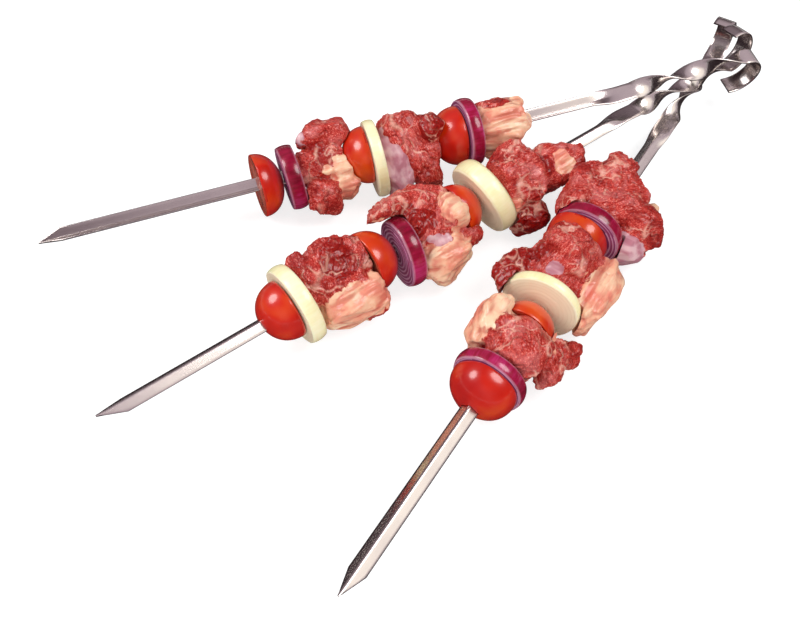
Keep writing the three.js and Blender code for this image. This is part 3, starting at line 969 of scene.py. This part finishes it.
ONION_SIDES = 96
ONION_SHARP = 60
LAYER_EDGE_SHARES = (0.12, 0.25, 0.38, 0.5, 0.62, 0.735, 0.84, 0.925, 1.0)
LAYER_STEP_SHARES = (0.08, 0.25, 0.6, 0.9)
RIM_STEPS = 8
RIM_BOW_SHARE = 0.1
SHARP_CORNER = 0.5

# The depth of the groove between two layers and how far a layer may sink, and the groove's width
LAYER_DEPTHS = {"red_onion": (0.35, 0.2), "white_onion": (0.1, 0.08)}
GROOVE_SHARE = 0.12

# How far the layers' middle may lie from the slice's, and the depth of the three-sided wave in its rim
DRIFT_SHARE = 0.05
ONION_TRIANGLE_SHARE = 0.006

# The pale line at the rim's edges: its width and how softly it ends
EDGE_LINE = 0.5
EDGE_LINE_BLEND = 0.4


def onion_face_outline(face_radius, seed, kind):
    """From the middle of a face to its edge, as (radius, depth below the face)"""
    groove, sink = LAYER_DEPTHS[kind]
    face = [(0, 0)]
    inner = 0
    for index, edge in enumerate(LAYER_EDGE_SHARES):
        drop = sink * (0.5 + 0.5 * math.sin(seed * 2.3 + index * 2.1))
        for step in LAYER_STEP_SHARES:
            out = (inner + (edge - inner) * step) * face_radius
            face.append((out, drop + groove * math.exp(-step / GROOVE_SHARE)))
        inner = edge
    return face


def onion_outline(piece, seed):
    """From the middle of one face, over the rim, to the middle of the other"""
    length, radius = piece["length"], piece["radius"]
    corner = piece.get("corner", SHARP_CORNER)
    bow = length * RIM_BOW_SHARE
    face = onion_face_outline(radius - bow, seed, piece["kind"])
    face[-1] = (radius - bow - corner, face[-1][1])
    rim = []
    for step in range(RIM_STEPS + 1):
        share = step / RIM_STEPS
        along = -length / 2 + corner * 0.5 + (length - corner) * share
        rim.append((radius - bow * (2 * share - 1) ** 2, along))
    low = [(r, -length / 2 + dip) for r, dip in face]
    high = [(r, length / 2 - dip) for r, dip in reversed(face)]
    return low + rim + high


def layer_of(out_share):
    """How far through its layer a place on the face is, 0 at the inner edge and 1 at the outer"""
    inner = 0
    for edge in LAYER_EDGE_SHARES:
        if out_share < edge:
            return (out_share - inner) / (edge - inner)
        inner = edge
    return 1


def build_onion(spec, piece, looks, seed):
    length, radius = piece["length"], piece["radius"]
    face_radius = radius - length * RIM_BOW_SHARE

    def shape(r, angle, along):
        drift = 1 + DRIFT_SHARE * (1 - r / radius) * math.cos(angle + seed * 2)
        waves = ((2, seed, WAVE_SHARE), (3, 2 * seed, ONION_TRIANGLE_SHARE))
        return r * out_of_round(angle, *waves) * drift, along

    made = lathed_piece(spec, piece, onion_outline(piece, seed), ONION_SIDES, shape)
    x, y, z = coordinates(made).T
    keep_numbers(made, "layer", [layer_of(share) for share in np.hypot(x, z) / face_radius])
    keep_numbers(made, "edge", np.clip((np.abs(y) - length / 2 + EDGE_LINE) / EDGE_LINE_BLEND, 0, 1))
    give_looks(made, looks[piece["kind"]], lambda r, along: r < face_radius * FACE_LOOK_SHARE)
    finish_piece(made, piece["node"], ONION_SHARP)


# Meat

LOBE_DETAIL = 4
ROUGH_VOXEL = 1.0
FINE_VOXEL = 0.55
JOIN_SMOOTHING = 6
TABLE_SPARE = 0.15
MEAT_SHARP = 65
TISSUES = ("red", "dark", "fat", "silver")

# The flat faces that a knife left: how many, how far out as a share of the reach, how flat, and how far
# the chunk swells to make up for them
KNIFE_CUTS = 11
KNIFE_REACH_SHARE = 0.87
KNIFE_FLAT_SHARE = 0.85
KNIFE_SWELL = 0.5
GOLDEN_ANGLE = math.pi * (3 - math.sqrt(5))

# The axis that a piece's fibres are turned about, and the turn for each step of the seed
FIBRE_AXIS = (0.3, -0.5, 1)
FIBRE_TURN = 1.3

# How the muscle's bundles are drawn out along its fibres, and the folds of fat along the blade
FIBRE_STRETCH = (1, 0.22, 1)
FOLD_STRETCH = (1, 0.14, 1)

# The rounded corner of the recess that a neighbour presses, from its end: how far in, and how far along
PLUG_CORNER = ((1.2, 0), (0.4, 0.3), (0, 1.2))

# How far the noise moves for each step of the seed
SEED_SHIFT = (7.3, -3.1, 1)

# Each noise's scale in millimetres, its octaves and its step in the seeds
WANDER_NOISE = (9, 2, 0)
RAGGED_NOISE = (2.6, 1, 11)
SURFACE_NOISES = dict(
    lumps=(15, 2, 0), slab=(17, 2, 3), crease=(15, 3, 5), creased=(12, 1, 6), folds=(5.5, 2, 7),
    seamed=(16, 1, 8), bundles=(2.2, 2, 9), torn=(17, 1, 12), rags=(3.2, 2, 13),
)

# Lines along which a noise passes a value: the noise, the value and how wide the line is
RIDGES = dict(edge=("slab", 0.05, 0.05), line=("crease", 0, 0.04), lip=("crease", 0.11, 0.05),
              crease=("crease", 0, 0.05))

# Areas that a noise marks: how sharply they end and how far they spread
AREAS = dict(creased=(4, 0.3), seamed=(4, 0.4), torn=(3.5, 0))

# How sharp the slabs' steps and the fat's pleats are, where the pleats start in their noise, and how
# much of a step's edge fat fills
STEP_SHARPNESS = 10
PLEAT_SHARPNESS = 4
PLEAT_START = 0.5
EDGE_SEAM_SHARE = 0.8

# How far the tissues' edges wander, broadly and finely, and how far silverskin's do
TISSUE_WANDER = 3.2
TISSUE_RAGGEDNESS = 1.0
SILVER_WANDER = 1.6

# How sharply the nearest lobe's tissue wins, and how softly paint ends
TISSUE_CONTRAST = 14
PAINT_EDGE_SHARE = 0.1

# How high each kind of relief stands, and how far the surface is drawn back under it
RELIEF = dict(lumps=0.9, steps=0.8, crease=0.9, lip=0.35, rags=1.2, bundles=0.45, folds=2.2)
RELIEF_SETBACK = 0.1

# How much of the steps and creases fat and silverskin keep
STEPS_KEPT_SHARE = 0.2
CREASE_KEPT_SHARE = 0.15


def unit_ball():
    """Points and faces of a ball of radius 1"""
    ball = bmesh.new()
    bmesh.ops.create_icosphere(ball, subdivisions=LOBE_DETAIL, radius=1)
    points = np.array([vertex.co[:] for vertex in ball.verts])
    faces = [tuple(vertex.index for vertex in face.verts) for face in ball.faces]
    ball.free()
    return points, faces


def squareness(points):
    """How far out points lie, measured so that a rounded cube is 1"""
    return (np.abs(points) ** LOBE_POWER).sum(axis=1) ** (1 / LOBE_POWER)


def lumpy(points, phase):
    """Rounds the unit ball's points out towards a cube, with lumps, as the CAD model does"""
    x, y, z = points.T * LUMP_WAVES
    lump = np.sin(x + phase) * np.sin(y + 2 * phase) + np.sin(z + 3 * phase)
    return points * ((1 + LUMP_SHARE * lump) / squareness(points))[:, None]


def lobe_matrix(lobe, turn):
    """From a unit lobe to the piece's own frame, in millimetres"""
    tissue, along, across, out, half_along, half_across, half_out, slant = lobe
    place = Matrix.Translation(Vector((across, along, out)) * FOOD_WIDTH)
    size = Matrix.Diagonal((half_across * FOOD_WIDTH, half_along * FOOD_WIDTH, half_out * FOOD_WIDTH, 1))
    return turn @ place @ turned(slant, "Z") @ size


def moved(points, matrix):
    return points @ np.array(matrix.to_3x3()).T + np.array(matrix.translation)


def joined_lobes(piece, turn):
    ball, ball_faces = unit_ball()
    points, faces = [], []
    for index, lobe in enumerate(piece["lobe_shares"]):
        lumps = lumpy(ball, LUMP_PHASE * (index + 1))
        faces += [tuple(corner + len(ball) * index for corner in face) for face in ball_faces]
        points.append(moved(lumps, lobe_matrix(lobe, turn)))
    return mesh_object(look_name(piece), np.concatenate(points), faces, piece["matrix"])


def knife_faces(made, seed):
    """Presses the outermost caps flat, as a knife leaves a cut chunk, and swells the rest a little"""
    places = coordinates(made) + normals(made) * KNIFE_SWELL
    middle = places.mean(axis=0)
    for cut in range(KNIFE_CUTS):
        rise = 1 - (2 * cut + 1) / KNIFE_CUTS
        around = GOLDEN_ANGLE * cut + seed
        flat = math.sqrt(1 - rise * rise)
        direction = np.array((flat * math.cos(around), flat * math.sin(around), rise))
        reach = (places - middle) @ direction
        beyond = np.clip(reach - KNIFE_REACH_SHARE * reach.max(), 0, None)
        places -= (beyond * KNIFE_FLAT_SHARE)[:, None] * direction
    set_coordinates(made, places)


def neighbour_plug(neighbour, to_handle):
    """The room that a neighbour needs: its outline, carried on away from the meat as a cylinder"""
    length, radius = neighbour["length"], neighbour["radius"] + WRAP_CLEARANCE
    if neighbour["kind"] == "tomato" and (neighbour["dome_to"] == "handle") != to_handle:
        outline = dome_outline(length, neighbour["radius"], TOMATO_ARC_STEPS, WRAP_CLEARANCE)
    else:
        near = -length / 2 - WRAP_CLEARANCE
        outline = [(0, near)] + [(radius - inset, near + rise) for inset, rise in PLUG_CORNER]
    far = length / 2 + CUT_OVERRUN
    outline += [(radius, far), (0, far)]
    flip = Matrix() if to_handle else turned(180, "X")
    matrix = neighbour["matrix"] @ seat_matrix(neighbour) @ flip
    return mesh_object("plug", *lathe(outline, TOMATO_SIDES // 2), matrix)


def noise_at(places, kind, seed):
    """Soft noise about 0, for places in millimetres"""
    scale, octaves, step = kind
    spots = (places / scale + (seed + step) * np.array(SEED_SHIFT)).tolist()
    return np.array([noise.fractal(spot, 1.0, 2.0, octaves, noise_basis="PERLIN_ORIGINAL")
                     for spot in spots])


def drift(places, kind, seed):
    """Noise in three directions, to move places by"""
    return np.stack([noise_at(places, kind, seed + k) for k in range(3)], axis=1)


def tissue_shares(piece, places, seed, turn):
    """The share of each tissue at each place, from the nearest lobes and the paint"""
    broad = drift(places, WANDER_NOISE, seed)
    spots = places + broad * TISSUE_WANDER + drift(places, RAGGED_NOISE, seed) * TISSUE_RAGGEDNESS
    calm_spots = places + broad * SILVER_WANDER
    lobes = piece["lobe_shares"]
    reaches = [squareness(moved(spots, lobe_matrix(lobe, turn).inverted())) for lobe in lobes]
    closeness = np.exp(-TISSUE_CONTRAST * np.array(reaches))
    closeness /= closeness.sum(axis=0)
    shares = {tissue: np.zeros(len(places)) for tissue in TISSUES}
    for lobe, share in zip(lobes, closeness):
        shares[lobe[0]] += share
    for tissue, along, across, out, radius in piece["paint_shares"]:
        centre = np.array(turn.to_3x3() @ Vector((across, along, out))) * FOOD_WIDTH
        near = calm_spots if tissue == "silver" else spots
        reach = np.linalg.norm(near - centre, axis=1) / FOOD_WIDTH
        painted = np.clip((radius + PAINT_EDGE_SHARE / 2 - reach) / PAINT_EDGE_SHARE, 0, 1)
        for other in shares:
            shares[other] *= 1 - painted
        shares[tissue] += painted
    return shares


def along_fibres(places, seed):
    """Places turned so that y runs along the piece's muscle fibres, and drawn together along them"""
    turn = np.array(Matrix.Rotation(seed * FIBRE_TURN, 3, Vector(FIBRE_AXIS).normalized()))
    return places @ turn.T * FIBRE_STRETCH


def surface_fields(places, seed):
    """Soft lumps, torn edges, creases between bundles, and where a crease holds a seam of fat"""
    spots = {"folds": places * FOLD_STRETCH, "bundles": along_fibres(places, seed)}
    fields = {name: noise_at(spots.get(name, places), kind, seed) for name, kind in SURFACE_NOISES.items()}
    fields["steps"] = np.tanh(STEP_SHARPNESS * fields["slab"])
    for name, (sharpness, spread) in AREAS.items():
        fields[name] = np.clip(fields[name] * sharpness + spread, 0, 1)
    ridges = {name: np.exp(-((fields[source] - middle) / width) ** 2)
              for name, (source, middle, width) in RIDGES.items()}
    ridges["crease"] *= fields["creased"]
    return {**fields, **ridges}


def roughen(made, piece, seed, turn):
    """Creases, torn edges and fibre bundles on muscle, and long pleats on fat"""
    places = coordinates(made)
    outward = normals(made)
    shares = tissue_shares(piece, places, seed, turn)
    fields = surface_fields(places, seed)
    relief = {name: height * fields[name] for name, height in RELIEF.items()}
    muscle = 1 - np.clip(shares["fat"] + shares["silver"], 0, 1)
    height = relief["lumps"] - RELIEF_SETBACK
    height += relief["steps"] * (STEPS_KEPT_SHARE + (1 - STEPS_KEPT_SHARE) * muscle)
    height -= relief["crease"] * (CREASE_KEPT_SHARE + (1 - CREASE_KEPT_SHARE) * muscle)
    height += (relief["lip"] + relief["rags"] * fields["torn"] + relief["bundles"]) * muscle
    height += relief["folds"] * np.clip(shares["fat"], 0, 1)
    set_coordinates(made, places + outward * height[:, None])


def keep_above_table(made):
    """Flattens whatever the noise pushed below the table top"""
    world = made.matrix_world
    back = world.inverted()
    for vertex in made.data.vertices:
        spot = world @ vertex.co
        if spot.z < TABLE_SPARE * MM:
            spot.z = TABLE_SPARE * MM
            vertex.co = back @ spot


def paint_tissues(made, piece, seed, turn):
    """Keeps the tissue shares, the fat seams, the painted shade in the creases and the fibres' run in the
    mesh
    """
    places = coordinates(made)
    shares = tissue_shares(piece, places, seed, turn)
    fields = surface_fields(places, seed)
    muscle = np.clip(shares["red"] + shares["dark"], 0, 1)
    lines = np.maximum(fields["line"], fields["edge"] * EDGE_SEAM_SHARE)
    pleats = np.clip(-PLEAT_SHARPNESS * fields["folds"] - PLEAT_START, 0, 1)
    for tissue in ("dark", "fat", "silver"):
        keep_numbers(made, tissue, shares[tissue])
    keep_numbers(made, "seam", lines * fields["seamed"] * muscle)
    # Painted shade in the creases between bundles, where no seam of fat lies
    keep_numbers(made, "hollow", fields["crease"] * (1 - fields["seamed"]) * muscle)
    keep_numbers(made, "pleat", shares["fat"] * pleats)
    keep_places(made, "fibre", along_fibres(places, seed))


def build_meat(spec, piece, before, after, looks, seed):
    turn = turned(spec["meat_turn"], "Y")
    made = joined_lobes(piece, turn)
    voxel_remesh(made, ROUGH_VOXEL)
    run_modifier(made, "SMOOTH", factor=0.5, iterations=JOIN_SMOOTHING)
    knife_faces(made, seed)
    voxel_remesh(made, FINE_VOXEL * (1))
    roughen(made, piece, seed, turn)
    keep_above_table(made)
    cutters = [neighbour_plug(before, False), slit_cutter(spec, piece)]
    if after:
        cutters.append(neighbour_plug(after, True))
    cut_away(made, cutters)
    paint_tissues(made, piece, seed, turn)
    give_looks(made, looks["meat"])
    made.data.shade_smooth()
    finish_piece(made, piece["node"], MEAT_SHARP)


def build_food(spec, looks, first_seed):
    lay_out(spec)
    base = skewer_matrix(spec)
    food = spec["food"]
    for piece in food:
        piece["node"] = f"{spec['name']}_{piece['name']}"
        piece["matrix"] = base @ Matrix.Translation((0, piece["middle"] * MM, 0))
    for place, piece in enumerate(food):
        seed = first_seed + place
        if piece["kind"] == "meat":
            after = food[place + 1] if place + 1 < len(food) else None
            build_meat(spec, piece, food[place - 1], after, looks, seed)
        elif piece["kind"] == "tomato":
            build_tomato(spec, piece, looks, seed)
        else:
            build_onion(spec, piece, looks, seed)


# Stage, light and camera. Lengths here are in metres.

FLOOR_SIZE = 6.0
BACKGROUND_SHARE = 0.76
FLOOR_BOUNCE_SHARE = 0.85
FLOOR_SEEN_SHARE = 0.42
SKY_LIGHT_SHARE = 0.45
LAMP_DISTANCE = 1.6
LAMPS = (
    dict(name="softbox_left", towards=(-0.67, 0.04, 0.72), size=0.85, power=12, mirrored=True),
    dict(name="softbox_right", towards=(0.54, -0.07, 0.85), size=0.85, power=10.5, mirrored=True),
    dict(name="front_fill", towards=(-0.1, -0.9, 0.5), size=1.3, power=8, mirrored=False),
)
CEILING_RADIUS = 2.4
CEILING_GREY_FROM = math.radians(35)
CEILING_RINGS = 16
CEILING_SIDES = 60
CEILING_TONE = (0.18, 0.135, 0.16, 1)
CEILING_LOW_TONE = (0.045, 0.032, 0.036, 1)
PANEL_RADIUS = 2.3
PANEL_TONE = (1.3, 1.24, 1.16, 1)
PANEL_RIM_TONE = (0.56, 0.47, 0.53, 1)
PANEL_RINGS = 12
PANEL_AZIMUTH = math.radians(-50)
PANEL_ELEVATION = math.radians(38)
PANEL_END = math.radians(66)
PANEL_FULL_SHARE = 0.42
PANEL_RIM_SHARE = 0.5
PANEL_RIM_END_SHARE = 0.91
CARD_RADIUS = 0.7
CARD_HEIGHT = 0.0004
CARD_SIDES = 64
CARD_TONE = (0.035, 0.024, 0.028, 1)

# Between two skewers' seeds
SEEDS_APART = 20


def seen_directly(tree):
    """1 for what the camera sees, itself or through a reflection or glass, and else 0"""
    path = node(tree, "ShaderNodeLightPath", {}).outputs
    seen = maths(tree, "MAXIMUM", path["Is Camera Ray"], path["Is Glossy Ray"])
    return maths(tree, "MAXIMUM", seen, path["Is Transmission Ray"])


def add_floor():
    side = FLOOR_SIZE / 2 / MM
    corners = [(-side, -side, 0), (side, -side, 0), (side, side, 0), (-side, side, 0)]
    floor = mesh_object("floor", corners, [(0, 1, 2, 3)])
    material, tree = new_material("floor_white")
    seen = seen_directly(tree)
    diffuse = node(tree, "ShaderNodeBsdfDiffuse", {
        "Color": mix(tree, seen, grey(FLOOR_BOUNCE_SHARE), grey(FLOOR_SEEN_SHARE)),
    })
    glow = node(tree, "ShaderNodeEmission", {
        "Color": grey(1), "Strength": maths(tree, "MULTIPLY", seen, BACKGROUND_SHARE),
    })
    show(tree, node(tree, "ShaderNodeAddShader", {0: diffuse.outputs[0], 1: glow.outputs[0]}))
    floor.data.materials.append(material)


def add_world():
    world = bpy.data.worlds.new("studio")
    bpy.context.scene.world = world
    world.use_nodes = True
    tree = world.node_tree
    tree.nodes.clear()
    strength = maths(tree, "MULTIPLY_ADD", seen_directly(tree), 1 - SKY_LIGHT_SHARE, SKY_LIGHT_SHARE)
    background = node(tree, "ShaderNodeBackground", {"Color": grey(1), "Strength": strength})
    node(tree, "ShaderNodeOutputWorld", {"Surface": background.outputs[0]})


def reflected_only(target, name, colour):
    """Makes a stage piece that only mirror-like surfaces show"""
    target.visible_camera = False
    target.visible_shadow = False
    target.visible_diffuse = False
    target.visible_transmission = False
    material, tree = new_material(name)
    show(tree, node(tree, "ShaderNodeEmission", {"Color": colour(tree), "Strength": 1.0}))
    target.data.materials.append(material)


def sky_direction(azimuth, elevation):
    """The direction at an azimuth from +Y towards -X and an elevation"""
    flat = math.cos(elevation)
    return Vector((-math.sin(azimuth) * flat, math.cos(azimuth) * flat, math.sin(elevation)))


def level_ring(radius, height, sides):
    """Points of a level ring about +Z, in millimetres"""
    turns = [2 * math.pi * side / sides for side in range(sides)]
    return [(radius / MM * math.cos(turn), radius / MM * math.sin(turn), height / MM) for turn in turns]


def sky_dome(name, start, radius, count):
    """A dome about +Z, from an angle above the level of its middle up to its closed top"""
    rises = [start + (math.pi / 2 - start) * ring / count for ring in range(count)]
    rings = [level_ring(radius * math.cos(rise), radius * math.sin(rise), CEILING_SIDES) for rise in rises]
    points, faces = skin_rings(rings, closed_ends=False)
    faces.append(tuple(range(len(points) - CEILING_SIDES, len(points))))
    return mesh_object(name, points, faces)


def add_ceiling():
    """A studio ceiling, grey above and nearly black towards the horizon"""
    ceiling = sky_dome("studio_ceiling", 0, CEILING_RADIUS, CEILING_RINGS)
    rises = [math.asin(min(1, vertex.co.normalized().z)) for vertex in ceiling.data.vertices]
    keep_numbers(ceiling, "rise", [min(1, rise / CEILING_GREY_FROM) for rise in rises])
    reflected_only(ceiling, "ceiling_grey",
                   lambda tree: mix(tree, kept(tree, "rise"), CEILING_LOW_TONE, CEILING_TONE))


def add_panel():
    """A bright panel below the ceiling, with a grey rim fading at its edge, which the steel mirrors"""
    panel = sky_dome("bright_panel", math.pi / 2 - PANEL_END, PANEL_RADIUS, PANEL_RINGS)
    away = [vertex.co.angle(Vector((0, 0, 1))) for vertex in panel.data.vertices]
    keep_numbers(panel, "away", [angle / PANEL_END for angle in away])
    panel.rotation_euler = sky_direction(PANEL_AZIMUTH, PANEL_ELEVATION).to_track_quat("Z", "Y").to_euler()
    stops = ((PANEL_FULL_SHARE, PANEL_TONE), (PANEL_RIM_SHARE, PANEL_RIM_TONE),
             (PANEL_RIM_END_SHARE, PANEL_RIM_TONE), (1.0, CEILING_TONE))
    reflected_only(panel, "panel_white", lambda tree: ramp(tree, kept(tree, "away"), *stops))
    return panel


def light_only_steel(panel):
    """Keeps the panel's light to the steel, as flags and cards do in a studio"""
    receivers = bpy.data.collections.new("steel_pieces")
    for spec in SKEWERS:
        receivers.objects.link(bpy.data.objects[f"{spec['name']}_steel"])
    panel.light_linking.receiver_collection = receivers


def add_dark_card():
    """A dark card on the floor, which gives the steel its dark side"""
    points = level_ring(CARD_RADIUS, CARD_HEIGHT, CARD_SIDES)
    card = mesh_object("dark_card", points, [tuple(range(CARD_SIDES))])
    reflected_only(card, "card_black", lambda tree: CARD_TONE)


def add_lamps():
    """Lamps in directions given with +Y away from the camera, all turned towards the set's middle"""
    for spec in LAMPS:
        light = bpy.data.lights.new(spec["name"], "AREA")
        light.shape = "DISK"
        light.size = spec["size"]
        light.energy = spec["power"]
        lamp = bpy.data.objects.new(light.name, light)
        bpy.context.scene.collection.objects.link(lamp)
        towards = (Matrix.Rotation(CAMERA_AZIMUTH, 3, "Z") @ Vector(spec["towards"])).normalized()
        lamp.location = towards * LAMP_DISTANCE
        lamp.rotation_euler = towards.to_track_quat("Z", "Y").to_euler()
        lamp.visible_glossy = spec["mirrored"]


def add_camera():
    lens = bpy.data.cameras.new("photo_camera")
    lens.sensor_width = SENSOR_WIDTH
    lens.sensor_fit = "HORIZONTAL"
    lens.lens = FOCAL_PIXELS / IMAGE_WIDTH * SENSOR_WIDTH
    camera = bpy.data.objects.new("photo_camera", lens)
    bpy.context.scene.collection.objects.link(camera)
    camera.location = Vector(CAMERA_PLACE) * MM
    camera.rotation_euler = (math.pi / 2 - CAMERA_PITCH, 0, CAMERA_AZIMUTH)
    bpy.context.scene.camera = camera


def build_set():
    looks = make_materials()
    for index, spec in enumerate(SKEWERS):
        build_skewer(spec, looks)
        build_food(spec, looks, SEEDS_APART * index + 1)


add_camera()
add_floor()
add_world()
add_ceiling()
add_dark_card()
add_lamps()
build_set()
light_only_steel(add_panel())
bpy.context.scene.view_settings.view_transform = "Standard"
